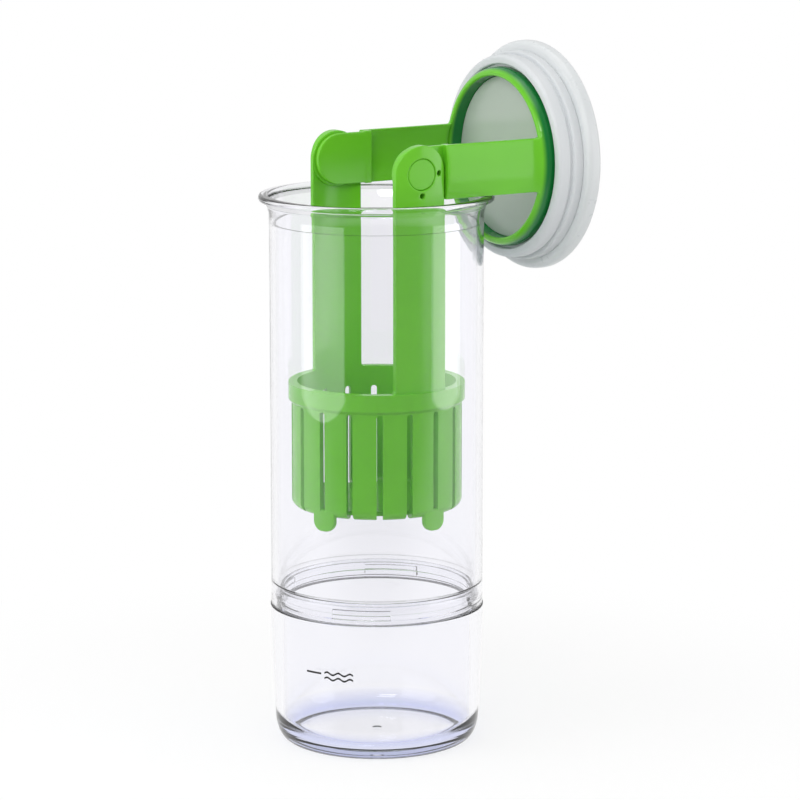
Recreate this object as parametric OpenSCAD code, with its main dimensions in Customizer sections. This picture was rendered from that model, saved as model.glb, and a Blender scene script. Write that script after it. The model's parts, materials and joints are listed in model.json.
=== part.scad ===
// Herb keeper. A tall clear tube locks onto a clear cup with a quarter-turn
// ring of lugs. A slotted basket hangs inside from two uprights, and the lid
// turns on two arms that clip into the heads of the uprights. The basket is
// shown lifted, with the lid folded out and its arms resting on the rim.
// The origin is the centre of the cup's base. +Z runs up the tube, the lid
// folds out towards +X, and the lid's pivots lie along Y.

/* [Tube] */
// Outer radius of the tube
tube_r = 45.5; // [42:0.1:55]
// Wall of the tube
tube_wall = 2.8; // [2.2:0.1:3.4]
// Height of the tube, from the seam to the top of the rim
tube_h = 177; // [150:0.5:220]
// How far the rim stands out from the tube
rim_out = 4.5; // [3.5:0.1:6]
// Thickness of the rim
rim_t = 2.9; // [2:0.1:4]
// Height of the flare under the rim, measured from the top
flare_h = 9.2; // [7:0.1:11]
// How far the wall flares out under the rim
flare_out = 2; // [1:0.1:2.5]
// Wall of the mouth, where the plug of the lid goes in
mouth_wall = 1.5; // [1.2:0.1:2]

/* [Cup] */
// Height of the shoulder that the tube stands on
cup_h = 59.5; // [45:0.5:80]
// How far the cup's shoulder stands out from the tube
cup_step = 0.4; // [0:0.1:1.5]
// How much the radius shrinks from the shoulder to the bottom
cup_taper = 1.9; // [0.5:0.1:4]
// Thickness of the cup's wall at its foot
cup_wall = 4.2; // [3:0.1:5]
// Thickness of the cup's floor
cup_floor = 3.4; // [2:0.1:5]
// How far the underside is pushed up
push_up = 1; // [0.5:0.1:2]
// Width of the rounded bottom corner
corner_w = 5.5; // [4:0.1:8]
// Height of the rounded bottom corner
corner_h = 11; // [8:0.5:14]
// Radius of the gate mark on the floor
gate_r = 2; // [1:0.1:3]
// Height of the neck above the shoulder
neck_h = 9; // [8:0.1:12]
// Wall of the neck
neck_wall = 1.6; // [1.5:0.1:2.2]

/* [Twist lock] */
// Wall of the tube's skirt round the neck
skirt_wall = 2.2; // [1.8:0.1:2.6]
// Number of lugs on each half
lug_count = 4; // [3:1:5]
// Width of a lug, in degrees
lug_arc = 33; // [20:1:34]
// Height of the tube's lugs above the seam
lug_z = 2; // [1.5:0.1:2.4]
// Thickness of a lug
lug_t = 1.9; // [1.5:0.1:2.2]
// How far a lug stands out
lug_out = 1.5; // [1:0.1:2]
// Direction of the first lug, in degrees from +X
lug_turn = -131; // [-180:1:180]

/* [Level mark] */
// Height of the level line above the table
mark_z = 37.5; // [25:0.5:45]
// Thickness of the printed lines
mark_line = 0.8; // [0.5:0.1:1.5]
// Direction of the middle of the level line, in degrees from +X
mark_turn = -158.3; // [-180:0.1:180]
// Length of the level line
mark_w = 7.5; // [4:0.1:12]
// Length of the waves printed beside the line
wave_w = 13; // [8:0.1:18]
// Height of a wave from trough to crest
wave_h = 1.1; // [0.5:0.1:2]
// Distance between the two waves
wave_gap = 2.3; // [1.8:0.1:3.5]
// Clear distance between the line and the waves
mark_space = 1.6; // [1:0.1:4]
// Thickness of the ink
ink_t = 0.1; // [0.05:0.01:0.2]

/* [Basket] */
// Thickness of the basket's wall
basket_wall = 2.5; // [1.8:0.1:3]
// Height of the basket, from its bottom to the top of its band
basket_h = 53.9; // [40:0.1:60]
// Height of the band round the top
band_h = 7.8; // [5:0.1:12]
// How far the band stands out from the wall
band_out = 1.3; // [0.6:0.1:2]
// Number of slots
slot_count = 18; // [12:2:22]
// Width of a slot
slot_w = 2.6; // [1.5:0.1:4]
// Distance from the band down to the slots' tops
slot_top = 0.3; // [0:0.1:3]
// Thickness of the floor
floor_t = 2; // [1.5:0.1:3]
// How far the floor lies above the ends of the bars
floor_lift = 1; // [0.5:0.1:2]
// Radius of the bottom corner
basket_corner = 3.5; // [2.8:0.1:5]
// Distance that the slots run in under the floor
slot_in = 3.5; // [1:0.1:8]
// Width of a foot
foot_w = 10.8; // [6:0.1:14]
// Depth of a foot below the basket
foot_h = 6; // [4:0.1:8]

/* [Uprights] */
// Length of the uprights, from the band to the pivots
upright_h = 91.3; // [70:0.1:110]
// Width of an upright
upright_w = 24.2; // [20:0.1:28]
// Thickness of an upright
upright_t = 2.3; // [1.8:0.1:3]
// Distance from the outside of the band in to the uprights
upright_in = 1.5; // [1:0.1:2]
// Extra thickness of the head, inwards
head_in = 2.1; // [1.5:0.1:2.6]
// Radius of the fillets at the foot of the uprights
foot_fillet = 3; // [1:0.1:4]

/* [Pivots] */
// Radius of the snap boss
boss_r = 6.6; // [4:0.1:7]
// Radius of the detent holes
detent_r = 1.1; // [0.6:0.1:1.4]
// Distance of the detent holes from the pivot
detent_at = 8.9; // [8.6:0.1:10]

/* [Lid frame] */
// Width of an arm
arm_w = 22.8; // [18:0.1:24]
// Thickness of an arm
arm_t = 2.3; // [1.8:0.1:3]
// Length of the arms, from the pivots to the front of the ring
arm_len = 59.3; // [50:0.1:75]
// Radius of the hub behind each head
hub_r = 11; // [10.8:0.1:12]
// Thickness of the hub
hub_t = 2.3; // [1.5:0.1:3]
// Thickness of the ring where it meets the lid
ring_t = 3.8; // [3:0.1:5]
// Radius of the ring's inner front edge
ring_edge = 1.1; // [0.5:0.1:1.4]
// How far the ring's side stands out past the arms
ring_step = 2.4; // [1:0.1:3]
// Length over which the arms flare out to the ring's side
arm_flare = 7; // [4:0.1:12]
// How far the ring stands out from the plug
ring_proud = 4.3; // [3:0.1:6]
// Radius of the fillets where the arms meet the ring
arm_fillet = 2; // [1:0.1:3]
// Depth of the recess inside the ring
recess = 6.3; // [5:0.1:9]

/* [Lid] */
// Length of the plug that goes into the mouth
plug_h = 11.5; // [9:0.1:13]
// Radius of the plug's front edge
plug_edge = 1.6; // [0.6:0.1:2]
// Length of the wide band next to the flange
seal_band = 4.3; // [2:0.1:5]
// How far that band stands out from the plug
seal_out = 1.4; // [0.5:0.1:1.8]
// Wall of the seal
seal_t = 2.2; // [1.5:0.1:3]
// Gap between the ring and the seal's lip
lip_gap = 1.1; // [0.5:0.1:1.6]
// Radius of the lip's edge
lip_edge = 0.9; // [0.4:0.1:1.2]
// Distance from the rim's edge in to the lid's edge
flange_in = 0.6; // [0:0.1:2]
// Thickness of the lid's flange
flange_t = 7.2; // [5:0.1:10]
// Radius of the rounded edge of the flange
flange_edge = 2.2; // [1:0.1:2.4]
// Thickness of the lid's top
top_t = 2.6; // [2:0.1:4]
// Depth of the dish in the lid's top
dish = 0.8; // [0.3:0.1:1.5]
// Thickness of the disc inside the ring
liner_t = 1.6; // [1:0.1:2.5]

/* [Clearances] */
// Gap between the neck's lugs and the skirt, and between the tube's lugs and the neck
lug_gap = 0.2; // [0.1:0.05:0.4]
// Gap between the two rings of lugs, above one another
lock_gap = 0.3; // [0.15:0.05:0.5]
// Gap between the tube and the shoulder that it stands on
seat_gap = 0.05; // [0.02:0.01:0.2]
// Gap between the basket's band and the tube
basket_gap = 5; // [3:0.1:7]
// Gap between the arms and the rim that they rest on
rest_gap = 0.1; // [0.02:0.01:0.5]
// Gap between a snap boss and its hole, all round
pivot_gap = 0.08; // [0.03:0.01:0.1]
// Gap between a head and the hub behind it
hub_gap = 0.3; // [0.2:0.05:0.5]
// Gap between the end of an arm and the head
head_gap = 0.6; // [0.3:0.1:1]
// Gap between the plug and the mouth
plug_gap = 0.3; // [0.1:0.05:0.6]
// Gap between the disc and the ring round it
liner_gap = 0.05; // [0.02:0.01:0.1]

/* [Hidden] */

round_fn = 180;      // facets of a full turn
small_fn = 48;       // facets of a boss or a hole
arc_steps = 8;       // steps of a rounded edge in a section
few_steps = 4;       // steps of a small one
flare_steps = 6;     // steps of a flare
lap = 0.1;           // how far a shape runs into the next one
cut = 1;             // how far a cutter runs past what it cuts
far = 400;           // larger than the whole object

// heights
seam_z = cup_h + seat_gap;
rim_z = seam_z + tube_h;
pivot_z = rim_z + rest_gap + arm_w / 2;
band_z = pivot_z - upright_h;
basket_z = band_z - basket_h;

// the tube and the cup
bore_r = tube_r - tube_wall;
skirt_r = tube_r - skirt_wall;
neck_r = skirt_r - lug_out - lug_gap;
neck_bore = neck_r - neck_wall;
cup_r = tube_r + cup_step;
cup_foot_r = cup_r - cup_taper;
rim_r = tube_r + rim_out;
mouth_room = 0.5;    // room that the mouth leaves below the plug
mouth_h = plug_h + mouth_room;
flare_power = 1.6;   // how late the flare swings out
skirt_room = 1;      // room that the skirt leaves above the neck
skirt_h = neck_h + skirt_room;
lock_z = lug_z + lug_t + lock_gap;

// the basket and what turns on it
band_r = bore_r - basket_gap;
basket_r = band_r - band_out;
strip_r = band_r - upright_in;
head_y = strip_r - upright_t - head_in;
hub_y = head_y - hub_gap;
head_r = upright_w / 2;
arm_end = head_r + head_gap;
boss_in = 0.7;       // how far a boss ends inside the head's face
boss_end = strip_r - boss_in;
bump_share = 0.6;    // height of a detent bump, as a share of the gap that it is in
bump_h = hub_gap * bump_share;

// the lid, along its own axis from the pivots
plug_x = arm_len + ring_proud;
flange_x = plug_x + plug_h;
lid_back = flange_x + flange_t;
ring_r = strip_r + ring_step;
ring_in = ring_r - ring_t;
liner_x = arm_len + recess;
plug_r = tube_r - mouth_wall - plug_gap;
core_r = plug_r - seal_t;
flange_r = rim_r - flange_in;

// points of an arc, or of an oval arc when b differs from a
function arc(cx, cy, a, b, from, to, steps = arc_steps) =
    [for (i = [0:steps]) let (t = from + (to - from) * i / steps)
        [cx + a * cos(t), cy + b * sin(t)]];

// outer radius of the cup's wall at a height
function cup_at(z) = cup_foot_r + cup_taper * (z - corner_h) / (cup_h - corner_h);

// how far the flare has swung out, t running from 0 to 1
function flare(t) = flare_out * pow(t, flare_power);

// a solid of revolution from its half section
module turned(points) {
    rotate_extrude($fn = round_fn) polygon(points);
}

// a ring from radius r1 to r2, between two heights
module ring(r1, r2, z1, z2) {
    turned([[r1, z1], [r2, z1], [r2, z2], [r1, z2]]);
}

// a wedge of a turn, centred on the direction turn
module wedge(turn, width, r, z1, z2) {
    rotate([0, 0, turn - width / 2]) translate([0, 0, z1])
        rotate_extrude(angle = width, $fn = round_fn) square([r, z2 - z1]);
}

// one ring of lugs: the parts of a ring that lie in the lugs' wedges
module lugs(r1, r2, z) {
    intersection() {
        ring(r1, r2, z, z + lug_t);
        for (i = [0:lug_count - 1])
            wedge(lug_turn + i * 360 / lug_count, lug_arc, r2 + cut, z - cut, z + lug_t + cut);
    }
}

// the flat outline of a strip w wide that runs up from the line y = 0, with
// fillets at its foot
module strip_outline(w, h, fillet) {
    translate([-w / 2, 0]) square([w, h]);
    for (side = [-1, 1]) scale([side, 1]) difference() {
        translate([w / 2 - lap, 0]) square([fillet + lap, fillet]);
        translate([w / 2 + fillet, fillet]) circle(fillet, $fn = small_fn);
    }
}

// stands a flat outline up, its y along Z, and runs it through both walls
module stood_up() {
    rotate([90, 0, 0]) translate([0, 0, -far / 2]) linear_extrude(far) children();
}

module cup() {
    floor_z = push_up + cup_floor;
    looser = 1;          // how much wider and taller the inner corner is
    inner_w = corner_w + looser;
    inner_h = corner_h - cup_floor + looser;
    wall_low = cup_at(floor_z + inner_h) - cup_wall;
    stand_w = 2;         // width of the ring that the cup stands on
    slope_w = 2;         // width of the slope from there up to the underside
    stand_r = cup_foot_r - corner_w - stand_w;
    bead_h = 1;          // height of the bead at the shoulder's edge
    soft = 0.3;          // softened edges of that bead
    lip = 0.7;           // rounded top of the neck
    dimple = 0.4;        // depth of the gate mark
    outer = concat(
        [[0, push_up], [stand_r - slope_w, push_up], [stand_r, 0]],
        arc(cup_foot_r - corner_w, corner_h, corner_w, corner_h, -90, 0),
        [[cup_r - soft, cup_h - bead_h], [cup_r, cup_h - soft], [cup_r - soft, cup_h]],
        [[neck_r, cup_h]],
        arc(neck_r - lip, cup_h + neck_h - lip, lip, lip, 0, 90));
    inner = concat(
        arc(neck_bore + lip, cup_h + neck_h - lip, lip, lip, 90, 180),
        arc(wall_low - inner_w, floor_z + inner_h, inner_w, inner_h, 0, -90),
        [[gate_r, floor_z], [gate_r - dimple, floor_z - dimple], [0, floor_z - dimple]]);
    color("aliceblue", 0.4) {
        turned(concat(outer, inner));
        lugs(neck_r - cut, neck_r + lug_out, cup_h + lock_z);
    }
}

module tube() {
    low_h = flare_h - rim_t;
    edge = rim_t / 2;    // full round of the rim
    edge_in = 1;         // rounded inner edge of the rim
    soft = 0.3;          // softened lower edge, and edge of the step in the mouth
    slope_h = 0.6;       // height of the slope above the skirt
    lug_root = skirt_r + tube_wall / 3;
    outer = concat(
        [[skirt_r, seam_z], [tube_r - soft, seam_z], [tube_r, seam_z + soft]],
        [for (i = [0:flare_steps]) let (t = i / flare_steps)
            [tube_r + flare(t), rim_z - flare_h + low_h * t]],
        arc(rim_r - edge, rim_z - edge, edge, edge, -90, 90));
    mouth_r = tube_r - mouth_wall;
    inner = concat(
        arc(mouth_r + flare_out + edge_in, rim_z - edge_in, edge_in, edge_in, 90, 180, few_steps),
        [for (i = [flare_steps - 1:-1:0]) let (t = i / flare_steps)
            [mouth_r + flare(t), rim_z - flare_h + low_h * t]],
        [[mouth_r, rim_z - mouth_h], [bore_r + soft, rim_z - mouth_h],
         [bore_r, rim_z - mouth_h - soft],
         [bore_r, seam_z + skirt_h + slope_h], [skirt_r, seam_z + skirt_h]]);
    color("aliceblue", 0.4) {
        turned(concat(outer, inner));
        lugs(neck_r + lug_gap, lug_root, seam_z + lug_z);
    }
}

// two-line generic level sign: a straight line and two stacked waves
module level_mark() {
    steps = 36;
    crests = 2.5;
    high = mark_z + 8;   // the ink is cut from a thin skin between these heights
    low = mark_z - 8;
    r = cup_at(mark_z);
    line_end = mark_w / 2 + mark_space;
    wave = [for (i = [0:steps]) [i / steps * wave_w, wave_h / 2 * sin(360 * crests * i / steps)]];
    back = [for (i = [steps:-1:0]) wave[i] - [0, mark_line]];
    color("black") intersection() {
        turned([[cup_at(low), low], [cup_at(low) + ink_t, low],
                [cup_at(high) + ink_t, high], [cup_at(high), high]]);
        union() {
            wedge(mark_turn, mark_w / r * 180 / PI, r + cut,
                  mark_z - mark_line / 2, mark_z + mark_line / 2);
            for (row = [0, 1])
                rotate([0, 0, mark_turn + (line_end + wave_w / 2) / r * 180 / PI])
                    translate([0, 0, mark_z + mark_line - row * wave_gap]) rotate([90, 0, 90])
                        translate([-wave_w / 2, 0, 0]) linear_extrude(r + cut)
                            polygon(concat(wave, back));
        }
    }
}

// what is cut out of the wall for one slot, with a round top
module slot() {
    top = band_z - band_h - band_out / 2 - slot_top - slot_w / 2;
    translate([basket_r - basket_wall - slot_in, -slot_w / 2, basket_z - cut])
        cube([far / 4, slot_w, top - basket_z + cut]);
    translate([basket_r - basket_wall - cut, 0, top]) rotate([0, 90, 0])
        cylinder(r = slot_w / 2, h = basket_wall + 2 * cut, $fn = small_fn);
}

// a rounded foot that hangs from the wall under a slot
module foot() {
    reach = 3.5;         // how far it runs up into the wall
    inset = 0.2;         // how far it lies inside the wall's face
    squash = 0.84;       // how flat its round end is
    tip = foot_h - foot_w / 2 * squash;
    intersection() {
        ring(basket_r - basket_wall, basket_r - inset, basket_z - foot_h - cut, basket_z + reach);
        rotate([90, 0, 90]) linear_extrude(far / 4) intersection() {
            translate([-foot_w / 2, basket_z - foot_h]) square([foot_w, foot_h + reach]);
            union() {
                translate([-foot_w / 2, basket_z - tip]) square([foot_w, tip + reach]);
                translate([0, basket_z - tip]) scale([1, squash]) circle(foot_w / 2, $fn = small_fn);
            }
        }
    }
}

// the two uprights with their heads, before the pivot holes are cut
module uprights() {
    root = 2;            // how far they run down into the band
    intersection() {
        ring(strip_r - upright_t, strip_r, band_z - root, pivot_z + head_r);
        stood_up() translate([0, band_z]) {
            translate([-upright_w / 2, -root]) square([upright_w, root + lap]);
            strip_outline(upright_w, upright_h, foot_fillet);
            translate([0, upright_h]) circle(head_r, $fn = round_fn);
        }
    }
    intersection() {
        cylinder(r = strip_r, h = far, $fn = round_fn);
        for (side = [-1, 1]) scale([1, side, 1]) translate([0, head_y, pivot_z])
            rotate([-90, 0, 0]) cylinder(r = head_r, h = far / 4, $fn = round_fn);
    }
}

module basket() {
    inner = basket_r - basket_wall;
    corner = basket_corner;
    soft = 0.6;          // rounded top edges of the band
    chamfer = 1.5;       // slope between the floor and the wall
    floor_z = basket_z + floor_lift;
    step_z = band_z - band_h;
    slot_step = 360 / slot_count;
    foot_turn = -80;     // direction of a foot, before it moves to the nearest slot
    foot_apart = 4;      // number of slots from that foot to the next one
    near_foot = round(foot_turn / slot_step) * slot_step;
    feet = [near_foot, near_foot - foot_apart * slot_step];
    color("limegreen") {
        difference() {
            union() {
                turned(concat(
                    [[0, floor_z], [inner - slot_in, floor_z],
                     [inner - slot_in + floor_lift, basket_z]],
                    arc(basket_r - corner, basket_z + corner, corner, corner, -90, 0),
                    [[basket_r, step_z - band_out / 2], [band_r, step_z + band_out / 2]],
                    arc(band_r - soft, band_z - soft, soft, soft, 0, 90, few_steps),
                    arc(inner + soft, band_z - soft, soft, soft, 90, 180, few_steps),
                    [[inner, floor_z + floor_t + chamfer],
                     [inner - chamfer, floor_z + floor_t],
                     [0, floor_z + floor_t]]));
                uprights();
            }
            for (i = [0:slot_count - 1]) rotate([0, 0, i * slot_step]) slot();
            translate([0, 0, pivot_z]) rotate([90, 0, 0]) translate([0, 0, -far / 2])
                cylinder(r = boss_r + pivot_gap, h = far, $fn = small_fn);
            for (at = [[detent_at, 0], [0, -detent_at]])
                translate([at[0], 0, pivot_z + at[1]]) rotate([90, 0, 0])
                    translate([0, 0, -far / 2]) cylinder(r = detent_r, h = far, $fn = small_fn);
        }
        for (turn = feet) for (half = [0, 180]) rotate([0, 0, turn + half]) foot();
    }
}

// puts a piece of the lid, drawn about +Z from the pivots, where it is folded out
module folded_out() {
    translate([0, 0, pivot_z]) rotate([0, 90, 0]) children();
}

// one arm: the strip, the hub behind the head, and the boss that clips into it
module arm() {
    block = 3.5;         // length of the step from the strip in to the hub
    lead = 0.6;          // chamfer on the boss
    inside = 0.5;        // how far the arm ends inside the ring
    under = 0.06;        // and how far it stays under the ring's side there
    fillet_in = 0.4;     // distance from the ring's front in to the fillets' feet
    fillet_run = 8;      // length of the strip that carries the fillets
    bump_r = detent_r * 0.8;
    tip = plug_x - inside;
    swing = ring_step - under;
    intersection() {
        turned(concat(
            [[strip_r - arm_t, 0], [strip_r, 0]],
            [for (i = [0:flare_steps]) [strip_r + swing * (1 - cos(180 * i / flare_steps)) / 2,
                                        tip - arm_flare * (1 - i / flare_steps)]],
            [[ring_in + ring_edge, tip], [ring_in + ring_edge, arm_len + cut],
             [strip_r - arm_t, arm_len + cut]]));
        rotate([90, 0, 0]) translate([0, 0, -far]) linear_extrude(far) {
            translate([-arm_w / 2, arm_end]) square([arm_w, plug_x - arm_end]);
            translate([0, arm_len + fillet_in]) mirror([0, 1])
                strip_outline(arm_w, fillet_run, arm_fillet);
        }
    }
    intersection() {
        cylinder(r = strip_r, h = far, $fn = round_fn);
        translate([-arm_w / 2, hub_y - hub_t, arm_end]) cube([arm_w, far / 4, block]);
    }
    translate([0, hub_y - hub_t, 0]) rotate([-90, 0, 0])
        cylinder(r = hub_r, h = hub_t, $fn = round_fn);
    translate([-hub_r, hub_y - hub_t, 0]) cube([2 * hub_r, hub_t, arm_end + cut]);
    translate([0, hub_y - hub_t / 2, 0]) rotate([-90, 0, 0]) {
        cylinder(r = boss_r, h = boss_end - lead - hub_y + hub_t / 2, $fn = small_fn);
        translate([0, 0, boss_end - lead - hub_y + hub_t / 2])
            cylinder(r1 = boss_r, r2 = boss_r - lead, h = lead, $fn = small_fn);
    }
    // detent bump: towards -Z when the lid is folded out
    translate([detent_at, hub_y - cut, 0]) rotate([-90, 0, 0])
        cylinder(r = bump_r, h = cut + bump_h, $fn = small_fn);
}

module lid_frame() {
    ledge_x = liner_x + liner_t;
    ledge_t = 2;         // thickness of the ledge behind the disc
    ledge_in = ring_in - 1.5;    // inner radius of the ledge
    skirt_in = ring_r - 2;       // inner radius of the skirt inside the lid
    color("limegreen") folded_out() {
        for (side = [-1, 1]) scale([1, side, 1]) arm();
        turned(concat(
            arc(ring_in + ring_edge, arm_len + ring_edge, ring_edge, ring_edge, 180, 270, few_steps),
            arc(ring_in + ring_edge, plug_x, ring_t - ring_edge, ring_proud, 270, 360),
            [[ring_r, flange_x], [skirt_in, flange_x], [skirt_in, ledge_x + ledge_t],
             [ledge_in, ledge_x + ledge_t], [ledge_in, ledge_x], [ring_in, ledge_x]]));
    }
}

module lid_liner() {
    edge = 0.3;          // chamfer round the disc
    color("gainsboro") folded_out()
        turned([[0, liner_x], [ring_in - liner_gap - edge, liner_x],
                [ring_in - liner_gap, liner_x + edge],
                [ring_in - liner_gap, liner_x + liner_t], [0, liner_x + liner_t]]);
}

module lid_cap() {
    edge = flange_edge;
    edge_w = edge * 1.5;         // the back edge is an oval, wider than it is deep
    dish_r = flange_r - 10;      // radius at which the dish begins
    dish_in = flange_r - 14;     // and at which it reaches its full depth
    under = lid_back - dish - top_t;
    color("whitesmoke") folded_out()
        turned(concat(
            [[0, under], [ring_r, under],
             [ring_r, plug_x + seal_t], [core_r, plug_x + seal_t], [core_r, flange_x]],
            arc(flange_r - edge, flange_x + edge, edge, edge, -90, 0),
            arc(flange_r - edge_w, lid_back - edge, edge_w, edge, 0, 90),
            [[dish_r, lid_back - dish * 0.4], [dish_in, lid_back - dish], [0, lid_back - dish]]));
}

module lid_seal() {
    lip_r = ring_r + lip_gap;
    groove = 0.5;        // depth of the groove in front of the wide band
    groove_w = 0.9;      // width of its bottom
    step_x = flange_x - seal_band;
    band_edge = 0.8;     // radius of the band's front edge
    soft = 0.4;          // chamfer at the flange
    color("white") folded_out()
        turned(concat(
            [[lip_r, plug_x + seal_t]],
            arc(lip_r + lip_edge, plug_x + lip_edge, lip_edge, lip_edge, 180, 270, few_steps),
            arc(plug_r - plug_edge, plug_x + plug_edge, plug_edge, plug_edge, -90, 0),
            [[plug_r, step_x - groove_w - groove], [plug_r - groove, step_x - groove_w],
             [plug_r - groove, step_x]],
            arc(plug_r + seal_out - band_edge, step_x + band_edge, band_edge, band_edge,
                -90, 0, few_steps),
            [[plug_r + seal_out, flange_x - soft], [plug_r + seal_out - soft, flange_x],
             [core_r, flange_x], [core_r, plug_x + seal_t]]));
}

cup();
level_mark();
tube();
basket();
lid_frame();
lid_cap();
lid_seal();
lid_liner();
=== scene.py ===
# %% [markdown]
# # A herb keeper
# A clear tube stands on a clear cup. A green slotted basket hangs in it from two
# uprights, and a white lid folds out on two green arms. The imported CAD model gives
# every main size and place; this script adds the finish. It starts with the frame.

import json
import math

import bmesh
import bpy
from mathutils import Matrix, Vector
from mathutils.geometry import delaunay_2d_cdt


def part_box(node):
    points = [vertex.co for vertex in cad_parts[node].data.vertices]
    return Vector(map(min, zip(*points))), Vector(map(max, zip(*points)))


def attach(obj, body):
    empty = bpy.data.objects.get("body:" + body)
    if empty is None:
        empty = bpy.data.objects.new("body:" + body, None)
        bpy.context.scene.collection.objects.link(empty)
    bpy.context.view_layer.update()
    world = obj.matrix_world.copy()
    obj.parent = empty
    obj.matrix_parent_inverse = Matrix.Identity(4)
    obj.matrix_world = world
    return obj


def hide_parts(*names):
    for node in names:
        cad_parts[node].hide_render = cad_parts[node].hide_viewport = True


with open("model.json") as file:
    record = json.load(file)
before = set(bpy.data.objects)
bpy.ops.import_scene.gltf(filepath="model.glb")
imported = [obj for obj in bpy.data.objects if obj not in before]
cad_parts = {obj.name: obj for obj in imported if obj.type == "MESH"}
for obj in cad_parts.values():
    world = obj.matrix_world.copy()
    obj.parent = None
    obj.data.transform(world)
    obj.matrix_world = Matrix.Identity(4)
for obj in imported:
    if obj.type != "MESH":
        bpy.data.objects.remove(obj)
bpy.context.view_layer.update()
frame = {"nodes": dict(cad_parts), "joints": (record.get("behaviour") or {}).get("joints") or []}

# %% [markdown]
# Sizes are written in millimetres and Blender works in metres, so one factor turns
# them. The main heights and radii are read from the boxes of the CAD nodes. Finer
# sizes, which a box can't give, are named once, where they are first needed.

# %% Sizes
MM = 0.001
DISC_DEPTH = 6.3  # how deep in the lid's ring the pale disc lies


def corner(node, which):
    """A corner of a node's box in millimetres: 0 is the lowest, 1 the highest."""
    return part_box(node)[which] / MM


seam_z = corner("tube", 0).z  # the tube stands on the cup's shoulder here
rim_z = corner("tube", 1).z
rim_r = corner("tube", 1).x
cup_r = corner("cup", 1).x
neck_top = corner("cup", 1).z
band_r = corner("basket", 1).x  # the band round the top of the basket
foot_z = corner("basket", 0).z
lid_front = corner("lid_seal", 0).x
lid_back = corner("lid_cap", 1).x
flange_r = corner("lid_cap", 1).y
ring_front = corner("lid_liner", 0).x - DISC_DEPTH
fold = next(joint for joint in frame["joints"] if joint["name"] == "lid_fold")
pivot_z = fold["pos_m"][2] / MM
print("rim", rim_z, "seam", seam_z, "pivot", pivot_z, "lid", lid_front, lid_back)

# %% [markdown]
# ## The camera
# The camera's place was solved from the circles of the rim, the seam, the base and
# the lid, which a lens turns into ellipses. It is a long lens, a metre and a half
# away and a little higher than the lid, and it stands on the side away from it.

# %% The camera
TURN = math.radians(32)  # how far round from -Y, towards -X, the camera stands
TILT = 0.1894  # how far it looks down, in radians
PAN = 0.0069  # how far it looks to the right of the tube's axis
AWAY = 1.444  # from the axis, in metres
HEIGHT = 0.4244

camera = bpy.data.objects.new("camera", bpy.data.cameras.new("camera"))
camera.data.sensor_width = 36
camera.data.lens = 154.93
camera.location = (-AWAY * math.sin(TURN), -AWAY * math.cos(TURN), HEIGHT)
camera.rotation_euler = (math.pi / 2 - TILT, 0, -TURN - PAN)
bpy.context.scene.collection.objects.link(camera)
bpy.context.scene.camera = camera
bpy.context.scene.view_settings.view_transform = "Standard"

# %% [markdown]
# ## Helpers for materials
# A colour picked on a screen is sRGB, while Blender mixes light in linear values.
# One function turns the first into the second. Another adds a node, fills its
# sockets and links it, so that a material reads as a list of what it is made of.

# %% Colour and nodes
NOISE_LOW = 0.3  # a noise stays mostly above this
NOISE_HIGH = 0.7  # and below this


def linear(code):
    """An sRGB hex colour as the linear values that Blender mixes."""
    channels = [int(code[i : i + 2], 16) / 255 for i in (1, 3, 5)]
    lit = [c / 12.92 if c <= 0.04045 else ((c + 0.055) / 1.055) ** 2.4 for c in channels]
    return (*lit, 1.0)


def add(tree, kind, inputs=None, **settings):
    """Adds a node. A value in inputs is set on that socket, and a socket is linked."""
    node = tree.nodes.new(kind)
    for name, value in settings.items():
        setattr(node, name, value)
    for name, value in (inputs or {}).items():
        if isinstance(value, bpy.types.NodeSocket):
            tree.links.new(value, node.inputs[name])
        else:
            node.inputs[name].default_value = value
    return node


def new_material(name):
    """An empty material and its node tree."""
    material = bpy.data.materials.new(name)
    material.use_nodes = True
    material.node_tree.nodes.clear()
    return material, material.node_tree


# %% [markdown]
# ## Clear plastic
# The tube and the cup are moulded in a clear styrene copolymer and come out of a
# polished mould. It bends light like glass, with an index of 1.57, and keeps a faint
# blue cast in the bottom corner of the cup, where it is thickest. Its wall is never
# perfectly even, so a slow wave in the surface bends what lies behind it. Lamps
# can't reach through a refracting wall in a path tracer, so rays from lamps meet a
# thin tint there instead.

# %% Clear plastic
WAVE = 24  # width of the slow waves in the wall, in millimetres
WAVE_DEPTH = 0.02
PATCH = 6  # width of the patches that are polished a little less
CAST_Z = (3, 12)  # the blue cast is full below the first height and gone at the second
CAST_R = (39, 31)  # and the same for two distances from the axis, from the outside in
BLUE_CAST = "#C6CCF2"
NO_CAST = "#FAFAFD"
THIN_TINT = "#F1F3F8"

clear, tree = new_material("clear_san_moulded")
place = add(tree, "ShaderNodeTexCoord").outputs["Object"]
waves, patches = [
    add(
        tree,
        "ShaderNodeTexNoise",
        {"Vector": place, "Scale": 1 / (size * MM), "Detail": detail},
    ).outputs["Fac"]
    for size, detail in ((WAVE, 1.0), (PATCH, 2.0))
]
height = add(tree, "ShaderNodeSeparateXYZ", {0: place}).outputs["Z"]
level = add(tree, "ShaderNodeVectorMath", {0: place, 1: (1, 1, 0)}, operation="MULTIPLY")
radius = add(tree, "ShaderNodeVectorMath", {0: level.outputs[0]}, operation="LENGTH")
above, within = [
    add(
        tree,
        "ShaderNodeMapRange",
        {"Value": value, "From Min": full * MM, "From Max": gone * MM},
    ).outputs["Result"]
    for value, (full, gone) in ((height, CAST_Z), (radius.outputs["Value"], CAST_R))
]
thin = add(tree, "ShaderNodeMath", {0: above, 1: within}, operation="MAXIMUM")
cast = add(
    tree,
    "ShaderNodeMix",
    {0: thin.outputs[0], 6: linear(BLUE_CAST), 7: linear(NO_CAST)},
    data_type="RGBA",
)
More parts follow.
